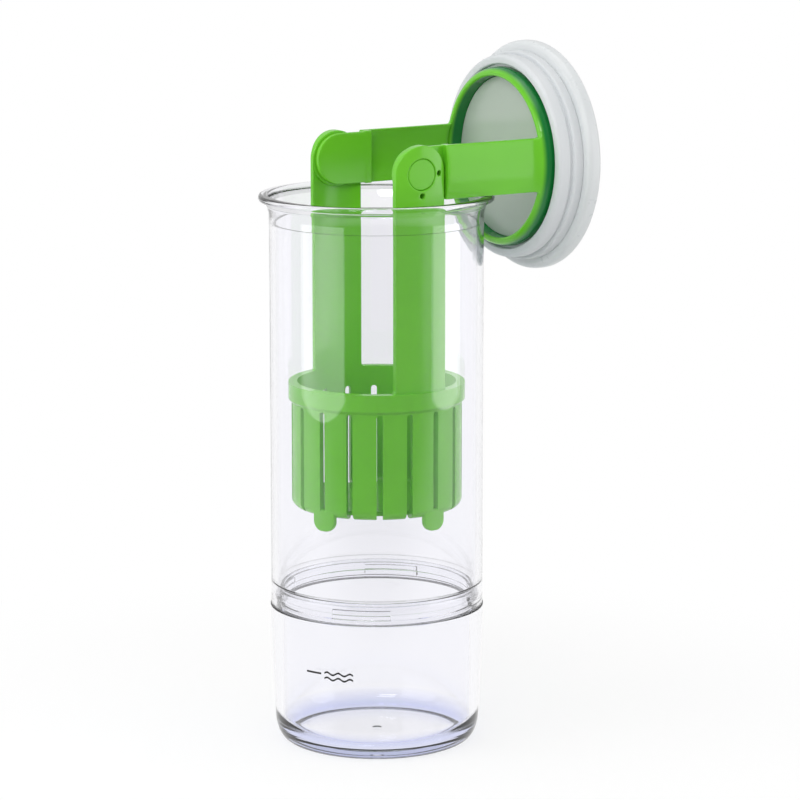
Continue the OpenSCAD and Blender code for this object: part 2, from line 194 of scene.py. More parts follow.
polish = add(
    tree,
    "ShaderNodeMapRange",
    {
        "Value": patches,
        "From Min": NOISE_LOW,
        "From Max": NOISE_HIGH,
        "To Min": 0.0,
        "To Max": 0.02,
    },
)
wavy = add(
    tree, "ShaderNodeBump", {"Height": waves, "Distance": WAVE_DEPTH * MM, "Strength": 1.0}
)
plastic = add(
    tree,
    "ShaderNodeBsdfPrincipled",
    {
        "Base Color": cast.outputs[2],
        "Roughness": polish.outputs["Result"],
        "IOR": 1.57,
        "Transmission Weight": 1.0,
        "Normal": wavy.outputs["Normal"],
    },
)
tint = add(tree, "ShaderNodeBsdfTransparent", {"Color": linear(THIN_TINT)})
path = add(tree, "ShaderNodeLightPath")
mix = add(
    tree,
    "ShaderNodeMixShader",
    {0: path.outputs["Is Shadow Ray"], 1: plastic.outputs[0], 2: tint.outputs[0]},
)
add(tree, "ShaderNodeOutputMaterial", {"Surface": mix.outputs[0]})
print("made", clear.name)

# %% [markdown]
# ## Opaque plastics
# The basket and the lid's frame are lime green polypropylene with a satin face. The
# lid is white ABS, its seal a soft white elastomer, and the disc inside the ring a
# pale polished plastic. They share one recipe: a colour that drifts a little, a
# roughness that is never quite even, and the fine grain of the mould as a bump. On
# the lid's ring a shade is painted in: a ramp along the lid's axis mixes a deep,
# shaded green into the colour from the ring's front edge back towards its root.

# %% Opaque plastics
DRIFT = 35  # width of the patches in which the colour drifts, in millimetres
DULL = 4  # and of those in which the gloss does
UNEVEN = 0.03  # how far the roughness goes up and down
ROOT_SHADE_LENGTH = 2.4  # the painted shade on the ring is full this far behind its front edge


def moulded(name, base, drift, rough, grain, grain_depth, ior=1.49, painted_root_shade=None):
    """A moulded plastic: base and drift are hex colours that it wanders between.

    The grain's width and depth are in millimetres. Where a shade colour is given, it is
    painted in as shade from the front edge of the lid's ring towards its root.
    """
    material, tree = new_material(name)
    place = add(tree, "ShaderNodeTexCoord").outputs["Object"]
    patches, gloss, pits = [
        add(
            tree,
            "ShaderNodeTexNoise",
            {"Vector": place, "Scale": 1 / (size * MM), "Detail": detail},
        ).outputs["Fac"]
        for size, detail in ((DRIFT, 2.0), (DULL, 2.0), (grain, 1.0))
    ]
    share, roughness = [
        add(
            tree,
            "ShaderNodeMapRange",
            {
                "Value": value,
                "From Min": NOISE_LOW,
                "From Max": NOISE_HIGH,
                "To Min": low,
                "To Max": high,
            },
        ).outputs["Result"]
        for value, low, high in ((patches, 0.0, 1.0), (gloss, rough - UNEVEN, rough + UNEVEN))
    ]
    colour = add(
        tree,
        "ShaderNodeMix",
        {0: share, 6: linear(base), 7: linear(drift)},
        data_type="RGBA",
    )
    # Painted shade: a deep green is mixed in from the ring's front edge back along X.
    if painted_root_shade:
        along = add(tree, "ShaderNodeSeparateXYZ", {0: place})
        root_shade_ramp = add(
            tree,
            "ShaderNodeMapRange",
            {
                "Value": along.outputs["X"],
                "From Min": ring_front * MM,
                "From Max": (ring_front + ROOT_SHADE_LENGTH) * MM,
            },
            interpolation_type="SMOOTHSTEP",
        )
        colour = add(
            tree,
            "ShaderNodeMix",
            {0: root_shade_ramp.outputs["Result"], 6: colour.outputs[2], 7: linear(painted_root_shade)},
            data_type="RGBA",
        )
    pitted = add(
        tree, "ShaderNodeBump", {"Height": pits, "Distance": grain_depth * MM, "Strength": 1.0}
    )
    shader = add(
        tree,
        "ShaderNodeBsdfPrincipled",
        {
            "Base Color": colour.outputs[2],
            "Roughness": roughness,
            "IOR": ior,
            "Normal": pitted.outputs["Normal"],
        },
    )
    add(tree, "ShaderNodeOutputMaterial", {"Surface": shader.outputs[0]})
    print("made", name)
    return material


# The deep green given here is painted shade on the lid's ring, not the plastic's colour.
green = moulded("lime_polypropylene_satin", "#72CD2D", "#6BC729", 0.2, 0.9, 0.006, painted_root_shade="#0C7A33")
white = moulded("white_abs_moulded", "#E1E4E5", "#DDE1E2", 0.3, 0.9, 0.003, ior=1.54)
soft_white = moulded("white_elastomer_seal", "#DEE1E3", "#DADEE0", 0.5, 0.6, 0.012)
pale = moulded("pale_polished_plastic", "#BCC7BC", "#B7C3B8", 0.2, 1.4, 0.004)
ink = moulded("black_pad_print_ink", "#141414", "#1C1C1C", 0.5, 0.3, 0.004)

# %% [markdown]
# ## Helpers for shapes
# Most of the keeper is turned: a section swept round an axis. Real mouldings have no
# sharp edges, so a section is written as corners, each with the radius of its
# fillet, and one function rounds them. The turned solid may have lugs: a function
# then says how the radius changes with the direction.

# %% Rounded sections and turned solids
SAME = 0.001 * MM  # points closer than this are one
STRAIGHT = math.radians(89.5)  # a corner whose half angle is more counts as straight
FILLET_MOST = 0.4999  # the share of a side that one fillet may take
SHARP = math.radians(55)  # an edge that turns by more than this stays sharp
ON_AXIS = 1e-6  # a point this near to the axis lies on it


def even(count):
    """The directions of count even steps of a full turn."""
    return [2 * math.pi * i / count for i in range(count)]


FULL_TURN = even(288)


def rounded(corners, steps=5):
    """A closed outline of corners (across, up, fillet), each turned into an arc."""
    points = []
    for i, (across, up, fillet) in enumerate(corners):
        here = Vector((across, up))
        back = Vector(corners[i - 1][:2]) - here
        on = Vector(corners[(i + 1) % len(corners)][:2]) - here
        half = back.angle(on) / 2
        if not fillet or half > STRAIGHT:
            points.append(here)
            continue
        reach = min(fillet / math.tan(half), back.length * FILLET_MOST, on.length * FILLET_MOST)
        ways = back.normalized() + on.normalized()
        centre = here + ways.normalized() * (reach / math.cos(half))
        start = here + back.normalized() * reach - centre
        end = here + on.normalized() * reach - centre
        sweep = start.angle(end)
        for k in range(steps + 1):
            t = k / steps
            share = (math.sin((1 - t) * sweep), math.sin(t * sweep))
            points.append(centre + (start * share[0] + end * share[1]) / math.sin(sweep))
    return points


def as_piece(bm, name):
    """A smooth object from a closed bmesh, with its doubles merged and faces outwards."""
    bmesh.ops.remove_doubles(bm, verts=bm.verts, dist=SAME)
    bmesh.ops.recalc_face_normals(bm, faces=bm.faces)
    mesh = bpy.data.meshes.new(name)
    bm.to_mesh(mesh)
    bm.free()
    mesh.polygons.foreach_set("use_smooth", [True] * len(mesh.polygons))
    mesh.set_sharp_from_angle(angle=SHARP)
    piece = bpy.data.objects.new(name, mesh)
    bpy.context.scene.collection.objects.link(piece)
    return piece


def turned(bm, section, place=Matrix.Identity(4), radius=None, angles=FULL_TURN):
    """Adds to bm a section in millimetres swept about Z and then put in place."""
    rings = []
    for angle in angles:
        ring = []
        for across, up in section:
            r = radius(across, up, angle) if radius else across
            point = Vector((r * math.cos(angle), r * math.sin(angle), up)) * MM
            ring.append(bm.verts.new(place @ point))
        rings.append(ring)
    for i, ring in enumerate(rings):
        after = rings[(i + 1) % len(rings)]
        for j in range(len(section)):
            k = (j + 1) % len(section)
            if section[j][0] > ON_AXIS or section[k][0] > ON_AXIS:
                bm.faces.new((ring[j], after[j], after[k], ring[k]))


# %% [markdown]
# A modifier stays live until the piece is settled: the evaluated object is read back
# as a plain mesh and the modifier goes. Weighted normals keep large faces flat in
# the light where a small fillet meets them. Then the piece gets its material, rides
# on its body and takes the place of its CAD node, which is hidden.

# %% Finishing a piece


def settle(piece):
    """Turns a piece and its modifiers into a plain mesh."""
    graph = bpy.context.evaluated_depsgraph_get()
    mesh = bpy.data.meshes.new_from_object(piece.evaluated_get(graph), depsgraph=graph)
    piece.modifiers.clear()
    piece.data = mesh


def finish(piece, body, node, material):
    """The last steps of every piece."""
    even_light = piece.modifiers.new("even_light", "WEIGHTED_NORMAL")
    even_light.weight = 80
    even_light.keep_sharp = True
    settle(piece)
    piece.data.materials.clear()
    piece.data.materials.append(material)
    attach(piece, body)
    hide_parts(node)
    print(piece.name, len(piece.data.polygons), "faces")


# %% [markdown]
# ## The tube
# The tube is one turned solid. Its foot is a thin skirt that goes over the neck of
# the cup, and four lugs inside the skirt hook under four lugs on the neck. At the
# top the wall flares out to a full-round rim, and a step inside takes the lid.

# %% The tube's sizes
TUBE_WALL = 2.8
RIM_OUT = 4.5  # how far the rim stands out past the tube's wall
RIM_T = 2.9
FLARE_H = 9.2
FLARE_OUT = 2
FLARE_STEPS = 6
FLARE_POWER = 1.6  # above 1, so that the wall leaves the straight slowly
UNDER_RIM = 0.1  # how much further out the flare ends under the rim
MOUTH_H = 12
MOUTH_WALL = 1.5
SKIRT_H = 10
SKIRT_WALL = 2.2
SKIRT_STEP = 0.15  # a fine step round the inside of the skirt
SKIRT_STEP_UP = 6.6
STEP_SLOPE = 0.3
BORE_UP = 10.6  # the bore begins this far above the seam
LUG_OUT = 1.5  # how far a lug stands out
LUG_ARC = math.radians(33)
LUG_TURN = math.radians(-131)  # direction of the first of the four lugs
LUG_T = 1.9
LUG_UP = 2  # from the seam to the lugs in the skirt
LUG_GAP = 0.2
LUG_SIDE = math.radians(0.1)  # half the width of the step at a lug's end
LUG_NEAR = 0.01  # points this near to a lug's height belong to it
tube_r = rim_r - RIM_OUT
bore_r = tube_r - TUBE_WALL
mouth_r = tube_r - MOUTH_WALL
skirt_r = tube_r - SKIRT_WALL
skirt_step_z = seam_z + SKIRT_STEP_UP
lug_r = skirt_r - LUG_OUT
tube_lug_z = seam_z + LUG_UP
print("tube's radius", tube_r, "bore", bore_r, "skirt", skirt_r)

# %% The tube


def in_lug(angle):
    """True in the four directions that have lugs."""
    off = (angle - LUG_TURN + LUG_ARC / 2) % (math.pi / 2)
    return off <= LUG_ARC


def at_lug(up, lug_z):
    """True at the height of the lugs that begin at lug_z."""
    return lug_z - LUG_NEAR < up < lug_z + LUG_T + LUG_NEAR


lug_ends = [
    LUG_TURN + end + way + quarter * math.pi / 2
    for end in (-LUG_ARC / 2, LUG_ARC / 2)
    for way in (-LUG_SIDE, LUG_SIDE)
    for quarter in range(4)
]
lugged = sorted(angle % (2 * math.pi) for angle in FULL_TURN + lug_ends)


def tube_radius(across, up, angle):
    """The lugs inside the skirt are there only in the lugs' directions."""
    inside = at_lug(up, tube_lug_z) and across < skirt_r
    return skirt_r if inside and not in_lug(angle) else across


flare = [
    (
        FLARE_OUT * (i / FLARE_STEPS) ** FLARE_POWER,
        rim_z - FLARE_H + (FLARE_H - RIM_T) * i / FLARE_STEPS,
    )
    for i in range(FLARE_STEPS + 1)
]
tube_section = rounded(
    [
        (skirt_r, seam_z, 0.25),
        (tube_r, seam_z, 0.3),
        *[(tube_r + out, up, 0) for out, up in flare[:-1]],
        (tube_r + FLARE_OUT + UNDER_RIM, rim_z - RIM_T, 0.4),
        (rim_r, rim_z - RIM_T, 1.4),
        (rim_r, rim_z, 1.4),
        (mouth_r + FLARE_OUT, rim_z, 1.0),
        *[(mouth_r + out, up, 0) for out, up in flare[-2::-1]],
        (mouth_r, rim_z - MOUTH_H, 0.1),
        (bore_r, rim_z - MOUTH_H, 0.15),
        (bore_r, seam_z + BORE_UP, 0.2),
        (skirt_r - SKIRT_STEP, seam_z + SKIRT_H, 0.2),
        (skirt_r - SKIRT_STEP, skirt_step_z, 0),
        (skirt_r, skirt_step_z - STEP_SLOPE, 0),
        (skirt_r, tube_lug_z + LUG_T, 0.05),
        (lug_r, tube_lug_z + LUG_T, 0.25),
        (lug_r, tube_lug_z, 0.25),
        (skirt_r, tube_lug_z, 0.05),
    ]
)
bm = bmesh.new()
turned(bm, tube_section, radius=tube_radius, angles=lugged)
tube = as_piece(bm, "tube_moulding")
finish(tube, "tube", "tube", clear)

# %% [markdown]
# ## The cup
# The cup carries the tube on a flat shoulder round its neck. Its wall tapers down to
# a deep rounded corner, and the underside is pushed up so that it stands on a ring.
# A small dimple in the floor is what the mould's gate leaves.

# %% The cup's sizes
CUP_TAPER = 1.9
CUP_WALL = 4.2  # at the foot of the wall
FLOOR = 3.4
PUSH_UP = 1
PUSH_IN = 4  # the push-up is full this far in from the bottom corner
STAND_W = 2  # width of the ring that the cup stands on
CORNER_W = 5.5
CORNER_H = 11
CORNER_MORE = 1  # how much larger the corner is on the inside
GATE_R = 2
GATE_LOW_R = 1.6
GATE_DEPTH = 0.4
SEAT_GAP = 0.05  # between the shoulder and the tube
NECK_WALL = 1.6
CUP_LUG_UP = 4.2  # from the shoulder to the lugs round the neck
TRACK = 0.35  # depth of the shallow track round the neck in which the tube's lugs run
TRACK_UP = 1.6  # the track begins here, above the shoulder
TRACK_FULL = 1.9  # and has its full depth from here
TRACK_END = 0.3  # it gets shallow again over this height, up to the lugs
GROOVE = 0.3  # depth of a fine groove round the neck, above the lugs
GROOVE_UP = 7.2
shoulder_z = seam_z - SEAT_GAP
neck_r = skirt_r - LUG_OUT - LUG_GAP
neck_bore = neck_r - NECK_WALL
cup_lug_z = shoulder_z + CUP_LUG_UP
groove_z = shoulder_z + GROOVE_UP
cup_low_r = cup_r - CUP_TAPER
floor_z = PUSH_UP + FLOOR
inner_h = CORNER_H - FLOOR + CORNER_MORE
print("neck's radius", neck_r, "bore", neck_bore, "floor", floor_z)

# %% The cup


def cup_at(up):
    """Outer radius of the cup's wall at a height."""
    return cup_low_r + CUP_TAPER * (up - CORNER_H) / (shoulder_z - CORNER_H)


def oval(cx, cy, a, b, start, end, steps=12):
    """Points of an oval arc, without fillets of their own."""
    angles = [math.radians(start + (end - start) * i / steps) for i in range(steps + 1)]
    return [(cx + a * math.cos(t), cy + b * math.sin(t), 0) for t in angles]


def cup_radius(across, up, angle):
    """The lugs round the neck are there only in the lugs' directions."""
    outside = at_lug(up, cup_lug_z) and across > neck_r
    return neck_r if outside and not in_lug(angle) else across


wall_low = cup_at(floor_z + inner_h) - CUP_WALL
cup_section = rounded(
    [
        (0, PUSH_UP, 0),
        (cup_low_r - CORNER_W - PUSH_IN, PUSH_UP, 1.0),
        (cup_low_r - CORNER_W - STAND_W, 0, 0.8),
        *oval(cup_low_r - CORNER_W, CORNER_H, CORNER_W, CORNER_H, -90, 0),
        (cup_r, shoulder_z, 0.5),
        (neck_r, shoulder_z, 0.15),
        (neck_r, shoulder_z + TRACK_UP, 0.1),
        (neck_r - TRACK, shoulder_z + TRACK_FULL, 0.1),
        (neck_r - TRACK, cup_lug_z - TRACK_END, 0.1),
        (neck_r, cup_lug_z, 0.05),
        (neck_r + LUG_OUT, cup_lug_z, 0.25),
        (neck_r + LUG_OUT, cup_lug_z + LUG_T, 0.25),
        (neck_r, cup_lug_z + LUG_T, 0.05),
        (neck_r, groove_z, 0),
        (neck_r - GROOVE, groove_z + GROOVE, 0),
        (neck_r, groove_z + 2 * GROOVE, 0),
        (neck_r, neck_top, 0.7),
        (neck_bore, neck_top, 0.7),
        *oval(
            wall_low - CORNER_W - CORNER_MORE,
            floor_z + inner_h,
            CORNER_W + CORNER_MORE,
            inner_h,
            0,
            -90,
        ),
        (GATE_R, floor_z, 0.2),
        (GATE_LOW_R, floor_z - GATE_DEPTH, 0.2),
        (0, floor_z - GATE_DEPTH, 0),
    ]
)
bm = bmesh.new()
turned(bm, cup_section, radius=cup_radius, angles=lugged)
cup = as_piece(bm, "cup_moulding")
finish(cup, "cup", "cup", clear)

# The printed mark is thin and exact in the CAD model, so it stays and gets its ink.
mark = frame["nodes"]["level_mark"]
mark.data.materials.clear()
mark.data.materials.append(ink)

# %% [markdown]
# ## The basket
# The basket's wall is the same eighteen times: a bar, half a slot on each side and
# the piece of floor and band that go with them. So one cell of twenty degrees is
# built as a mesh, open at its two sides. Geometry Nodes turn copies of it round the
# axis, and welding their sides gives one closed moulding.

# %% The basket's sizes
SLOTS = 18
SLOT_W = 2.6
SLOT_IN = 3.5  # how far in under the floor the slots run
BASKET_H = 53.9
BASKET_WALL = 2.5
BASKET_FLOOR = 3
FLOOR_RISE = 1  # how much higher the floor's underside is inside the ring of slots
FLOOR_ROWS = (15, 0)  # radii of the floor's inner rows of points
BOTTOM_R = 3.5  # radius of the bottom edge outside
BOTTOM_IN_R = 1.5  # and inside
BOTTOM_STEPS = 6
BAND_DROP = 91.3  # from the pivots down to the band's top
BAND_OUT = 1.3
BAND_H = 7.8
ARCH_GAP = 0.3  # between the band and the slots' round tops
ARCH_DROP = 20  # from where those begin down to the next row of points
BAR_STEPS = 3  # columns across half a bar
TOP_STEPS = 8  # columns across a slot's round top
band_z = pivot_z - BAND_DROP
basket_z = band_z - BASKET_H
basket_r = band_r - BAND_OUT
inner_r = basket_r - BASKET_WALL
slot_end = inner_r - SLOT_IN
arch_z = band_z - BAND_H - BAND_OUT / 2 - ARCH_GAP - SLOT_W / 2
print("band's top", band_z, "basket's bottom", basket_z, "radius", basket_r)

# %% One cell of the basket


def cell_angle(column, r):
    """Direction of a column of the cell at a radius; slot edges keep their distance."""
    edge = math.asin(SLOT_W / 2 / r) if r > SLOT_W else math.pi / SLOTS / 2
    side = math.pi / SLOTS
    if column <= BAR_STEPS:
        return -side + (side - edge) * column / BAR_STEPS
    if column >= BAR_STEPS + TOP_STEPS:
        return edge + (side - edge) * (column - BAR_STEPS - TOP_STEPS) / BAR_STEPS
    across = -math.cos(math.pi * (column - BAR_STEPS) / TOP_STEPS)
    return math.asin(across * math.sin(edge))


def arc_points(cx, cz, radius, start, end, steps):
    """Points (radius from the axis, height) of an arc."""
    angles = [math.radians(start + (end - start) * i / steps) for i in range(steps + 1)]
    return [(cx + radius * math.cos(t), cz + radius * math.sin(t)) for t in angles]


def basket_rows():
    """Rows of (outside, inside) points, and how many lie over the slots and by them."""
    low = band_z - BAND_H + BAND_OUT / 2
    over = [
        ((band_r, band_z), (inner_r, band_z)),
        ((band_r, low), (inner_r, low)),
        ((basket_r, low - BAND_OUT), (inner_r, low - BAND_OUT)),
    ]
    by = [((basket_r, z), (inner_r, z)) for z in (arch_z, arch_z - ARCH_DROP)]
    floor_top = basket_z + BASKET_FLOOR
    out, into, steps = BOTTOM_R, BOTTOM_IN_R, BOTTOM_STEPS
    by += zip(
        arc_points(basket_r - out, basket_z + out, out, 0, -90, steps),
        arc_points(inner_r - into, floor_top + into, into, 0, -90, steps),
    )
    by += [
        ((slot_end + FLOOR_RISE, basket_z), (slot_end + FLOOR_RISE, floor_top)),
        ((slot_end, basket_z + FLOOR_RISE), (slot_end, floor_top)),
    ]
    middle = [((r, basket_z + FLOOR_RISE), (r, floor_top)) for r in FLOOR_ROWS]
    return over + by + middle, len(over), len(over) + len(by)


def basket_cell():
    """The open mesh of one cell."""
    bm = bmesh.new()
    rows, first_by, end_by = basket_rows()
    columns = 2 * BAR_STEPS + TOP_STEPS
    edges = (BAR_STEPS, BAR_STEPS + TOP_STEPS)
    points = {}
    for i, row in enumerate(rows):
        for column in range(columns + 1):
            arched = i == first_by and edges[0] < column < edges[1]
            step = math.pi * (column - BAR_STEPS) / TOP_STEPS
            lift = SLOT_W / 2 * math.sin(step) if arched else 0
            for side, (r, z) in enumerate(row):
                angle = cell_angle(column, r)
                at = Vector((r * math.cos(angle), r * math.sin(angle), z + lift))
                points[i, column, side] = bm.verts.new(at * MM)

    def face(*keys):
        bm.faces.new([points[key] for key in keys])

    for i in range(len(rows) - 1):
        for c in range(columns):
            open_slot = edges[0] <= c < edges[1] and first_by <= i < end_by - 1
            if not open_slot:
                for side in (0, 1):
                    face((i, c, side), (i, c + 1, side), (i + 1, c + 1, side), (i + 1, c, side))
    for i in range(first_by, end_by - 1):
        for c in edges:
            face((i, c, 0), (i, c, 1), (i + 1, c, 1), (i + 1, c, 0))
    for c in range(*edges):
        for i in (first_by, end_by - 1):
            face((i, c, 0), (i, c + 1, 0), (i, c + 1, 1), (i, c, 1))
    for c in range(columns):
        face((0, c, 0), (0, c + 1, 0), (0, c + 1, 1), (0, c, 1))
    loose = [vert for vert in bm.verts if not vert.link_faces]
    bmesh.ops.delete(bm, geom=loose, context="VERTS")
    mesh = bpy.data.meshes.new("basket_cell")
    bm.to_mesh(mesh)
    bm.free()
    return mesh


# %% [markdown]
# The tree below is made once and used for the cells and for the feet. Its inputs say
# how many copies there are, how far each is turned from the last, where the first
# one stands, how near two points must be to be welded, and which material they get.

# %% A tree that repeats a shape round the axis


def repeater():
    """Geometry Nodes that turn copies of a mesh about Z and weld them."""
    tree = bpy.data.node_groups.new("repeat_round_axis", "GeometryNodeTree")
    sockets = (
        ("Geometry", "NodeSocketGeometry"),
        ("Count", "NodeSocketInt"),
        ("Step", "NodeSocketFloat"),
        ("Start", "NodeSocketFloat"),
        ("Weld", "NodeSocketFloat"),
        ("Finish", "NodeSocketMaterial"),
    )
    for name, kind in sockets:
        tree.interface.new_socket(name, in_out="INPUT", socket_type=kind)
    tree.interface.new_socket("Geometry", in_out="OUTPUT", socket_type="NodeSocketGeometry")
    given = add(tree, "NodeGroupInput").outputs
    line = add(
        tree,
        "GeometryNodeMeshLine",
        {"Count": given["Count"], "Offset": (0.0, 0.0, 0.0)},
    )
    index = add(tree, "GeometryNodeInputIndex")
    turn = add(
        tree,
        "ShaderNodeMath",
        {0: index.outputs[0], 1: given["Step"], 2: given["Start"]},
        operation="MULTIPLY_ADD",
    )
    about = add(tree, "ShaderNodeCombineXYZ", {"Z": turn.outputs[0]})
    rotation = add(tree, "FunctionNodeEulerToRotation", {0: about.outputs[0]})
    copies = add(
        tree,
        "GeometryNodeInstanceOnPoints",
        {
            "Points": line.outputs[0],
            "Instance": given["Geometry"],
            "Rotation": rotation.outputs[0],
        },
    )
    real = add(tree, "GeometryNodeRealizeInstances", {0: copies.outputs[0]})
    welded = add(
        tree,
        "GeometryNodeMergeByDistance",
        {"Geometry": real.outputs[0], "Distance": given["Weld"]},
    )
    done = add(
        tree,
        "GeometryNodeSetMaterial",
        {"Geometry": welded.outputs[0], "Material": given["Finish"]},
    )
    add(tree, "NodeGroupOutput", {0: done.outputs[0]})
    return tree


repeat = repeater()


def repeated(mesh, count, step, start, material):
    """The mesh of count copies, each turned by step degrees from the last."""
    holder = bpy.data.objects.new("repeated", mesh)
    bpy.context.scene.collection.objects.link(holder)
    modifier = holder.modifiers.new("repeat", "NODES")
    modifier.node_group = repeat
    values = {
        "Count": count,
        "Step": math.radians(step),
        "Start": math.radians(start),
        "Weld": SAME,
        "Finish": material,
    }
    for item in repeat.interface.items_tree:
        if item.in_out == "INPUT" and item.name in values:
            modifier[item.identifier] = values[item.name]
    settle(holder)
    result = holder.data
    bpy.data.objects.remove(holder)
    return result


cells = repeated(basket_cell(), SLOTS, 360 / SLOTS, 0, green)
print("basket wall:", len(cells.vertices), "points from", SLOTS, "cells")

# %% [markdown]
# ## Plates with rounded edges
# The uprights, the heads, the feet and the arms are plates: flat outlines, some with
# holes, bent to the round of the basket. A plate's outline is drawn flat, its faces
# are filled with triangles, and its edges roll over from the front to the back.

# %% Outlines
STEP = 1.2  # the straight runs of an outline are cut into steps of about this length
TWIN = 0.01  # two points of an outline closer than this are one


def resampled(points, step=STEP):
    """The outline with its long straight runs cut into steps."""
    result = []
    for i, here in enumerate(points):
        on = points[(i + 1) % len(points)]
        count = max(1, round((on - here).length / step))
        result += [here.lerp(on, k / count) for k in range(count)]
    clean = []
    for point in result:
        if not clean or (point - clean[-1]).length > TWIN:
            clean.append(point)
    return clean


def hole(u, v, radius, steps=40):
    """A round hole's outline, which runs clockwise."""
    angles = [-2 * math.pi * i / steps for i in range(steps)]
    return [Vector((u + radius * math.cos(t), v + radius * math.sin(t))) for t in angles]


def inwards(loop):
    """For each point of a loop, the way into the material."""
    ways = []
    for i in range(len(loop)):
        along = (loop[(i + 1) % len(loop)] - loop[i]).normalized()
        along += (loop[i] - loop[i - 1]).normalized()
        ways.append(Vector((-along.y, along.x)).normalized())
    return ways


def is_inside(point, loops):
    """True between the outside and the holes, by counting the edges that are crossed."""
    odd = False
    for loop in loops:
        for i, b in enumerate(loop):
            a = loop[i - 1]
            if (a.y > point.y) != (b.y > point.y):
                odd ^= point.x < a.x + (b.x - a.x) * (point.y - a.y) / (b.y - a.y)
    return odd


# %% The plate helper
GRID = 1.6  # distance between the points that fill a plate's face
GRID_ROOM = 0.6  # share of it by which they keep away from the outline
ROLL_STEPS = 3
FILL_NEAR = 1e-5


def fill(loops, grid):
    """Points and triangles that fill the loops, with a grid of points between."""
    rim = [point for loop in loops for point in loop]
    edges = []
    start = 0
    for loop in loops:
        count = len(loop)
        edges += [(start + i, start + (i + 1) % count) for i in range(count)]
        start += count
    low = [min(p[k] for p in rim) for k in (0, 1)]
    high = [max(p[k] for p in rim) for k in (0, 1)]
    steps = [round((high[k] - low[k]) / grid) for k in (0, 1)]
    room = GRID_ROOM * grid
    extra = []
    for i in range(1, steps[0]):
        for j in range(1, steps[1]):
            point = Vector((low[0] + i * grid, low[1] + j * grid))
            if is_inside(point, loops) and min((point - p).length for p in rim) > room:
                extra.append(point)
    found = delaunay_2d_cdt(rim + extra, edges, [], 1, FILL_NEAR)
    points, triangles, origin = found[0], found[2], found[3]
    kept = [
        tri for tri in triangles
        if is_inside(sum((points[i] for i in tri), Vector((0, 0))) / 3, loops)
    ]
    return points, kept, [source[0] for source in origin]


def plate(bm, loops, front, back, edge, place):
    """Adds a plate whose edges roll over with the radius edge.

    front(u, v) and back(u, v) give its depths, front the larger, and
    place(u, v, depth) puts a point of it in space, all in millimetres.
    """
    angles = [math.pi / 2 * i / ROLL_STEPS for i in range(ROLL_STEPS + 1)]
    rolls = [(edge * (1 - math.sin(t)), edge * (1 - math.cos(t)), front, -1) for t in angles]
    rolls += [(inset, drop, back, 1) for inset, drop, _, _ in reversed(rolls)]
    ways = [inwards(loop) for loop in loops]
    layers = []
    for inset, drop, face_of, sign in rolls:
        layer = []
        for loop, way in zip(loops, ways):
            for point, inward in zip(loop, way):
                at = point + inward * inset
                depth = face_of(at.x, at.y) + sign * drop
                layer.append(bm.verts.new(Vector(place(at.x, at.y, depth)) * MM))
        layers.append(layer)
    for layer, following in zip(layers, layers[1:]):
        start = 0
        for loop in loops:
            for i in range(len(loop)):
                a, b = start + i, start + (i + 1) % len(loop)
                bm.faces.new((layer[a], layer[b], following[b], following[a]))
            start += len(loop)
    flat = [
        [point + inward * edge for point, inward in zip(loop, way)]
        for loop, way in zip(loops, ways)
    ]
    points, triangles, origin = fill(flat, GRID)
    rim_count = len(layers[0])
    for layer, face_of in ((layers[0], front), (layers[-1], back)):
        verts = []
        for point, source in zip(points, origin):
            if source < rim_count:
                verts.append(layer[source])
            else:
                at = place(point.x, point.y, face_of(point.x, point.y))
                verts.append(bm.verts.new(Vector(at) * MM))
        for tri in triangles:
            bm.faces.new([verts[i] for i in tri])


def round_face(radius):
    """The depth of a face that follows a circle about the axis."""
    return lambda u, v: math.sqrt(radius**2 - u**2)


def flat_face(depth):
    """The depth of a flat face."""
    return lambda u, v: depth


# %% [markdown]
# ## Uprights, heads and feet
# Each upright is a strip of the basket's round that grows out of the band with a
# fillet and ends in a round head. The head is thicker inwards and has the hole for
# the lid's pivot and two small holes, at the front and below, that a bump on the lid
# clicks into. The feet hang under four of the slots.

# %% The uprights' outlines
UPRIGHT_W = 24.2
UPRIGHT_T = 2.3
UPRIGHT_FILLET = 3  # where an upright grows out of the band
UPRIGHT_SPREAD = 3.6  # how far its root reaches out to each side
UPRIGHT_SINK = 2  # how far the root reaches down into the band
FILLET_SINK = 0.3  # the fillets begin this far down in the band
STRIP_IN = 1.5  # how far an upright's face lies inside the band's
HEAD_IN = 2.1
PAD_UNDER = 1  # a pad makes the head thicker; it begins this far under the strip's face
PAD_IN = 0.05  # and its radius is this much smaller than the head's
PIVOT_R = 6.68
DETENT_R = 1.1
DETENT_AT = 8.9
HOLE_ROOM = 0.02  # how much larger the radius of the holes is in the pad
strip_r = band_r - STRIP_IN
head_y = strip_r - UPRIGHT_T - HEAD_IN
half = UPRIGHT_W / 2
root_half = half + UPRIGHT_SPREAD
root_z = band_z - UPRIGHT_SINK
strip_foot = band_z - FILLET_SINK

upright = resampled(
    rounded(
        [
            (-root_half, root_z, 0),
            (root_half, root_z, 0),
            (root_half, strip_foot, 0),
            (half, strip_foot, UPRIGHT_FILLET),
            (half, pivot_z + half, half),
            (-half, pivot_z + half, half),
            (-half, strip_foot, UPRIGHT_FILLET),
            (-root_half, strip_foot, 0),
        ],
        steps=12,
    )
)
pad = list(reversed(hole(0, pivot_z, half - PAD_IN, 80)))  # outlines run anticlockwise


def head_holes(room):
    """The outlines of the three holes in a head, each wider by room."""
    return [
        hole(0, pivot_z, PIVOT_R + room, 56),
        hole(DETENT_AT, pivot_z, DETENT_R + room, 20),
        hole(0, pivot_z - DETENT_AT, DETENT_R + room, 20),
    ]


print("upright's outline:", len(upright), "points, head's face at", head_y)

# %% The basket's wall with its uprights
EDGE = 0.5  # radius of the plates' edges
SOFT = 0.4  # width of the bevel on the wall's edges


def facing(side):
    """Puts a plate on the side towards -Y for -1, or +Y for 1."""
    return lambda u, v, depth: (u, side * depth, v)


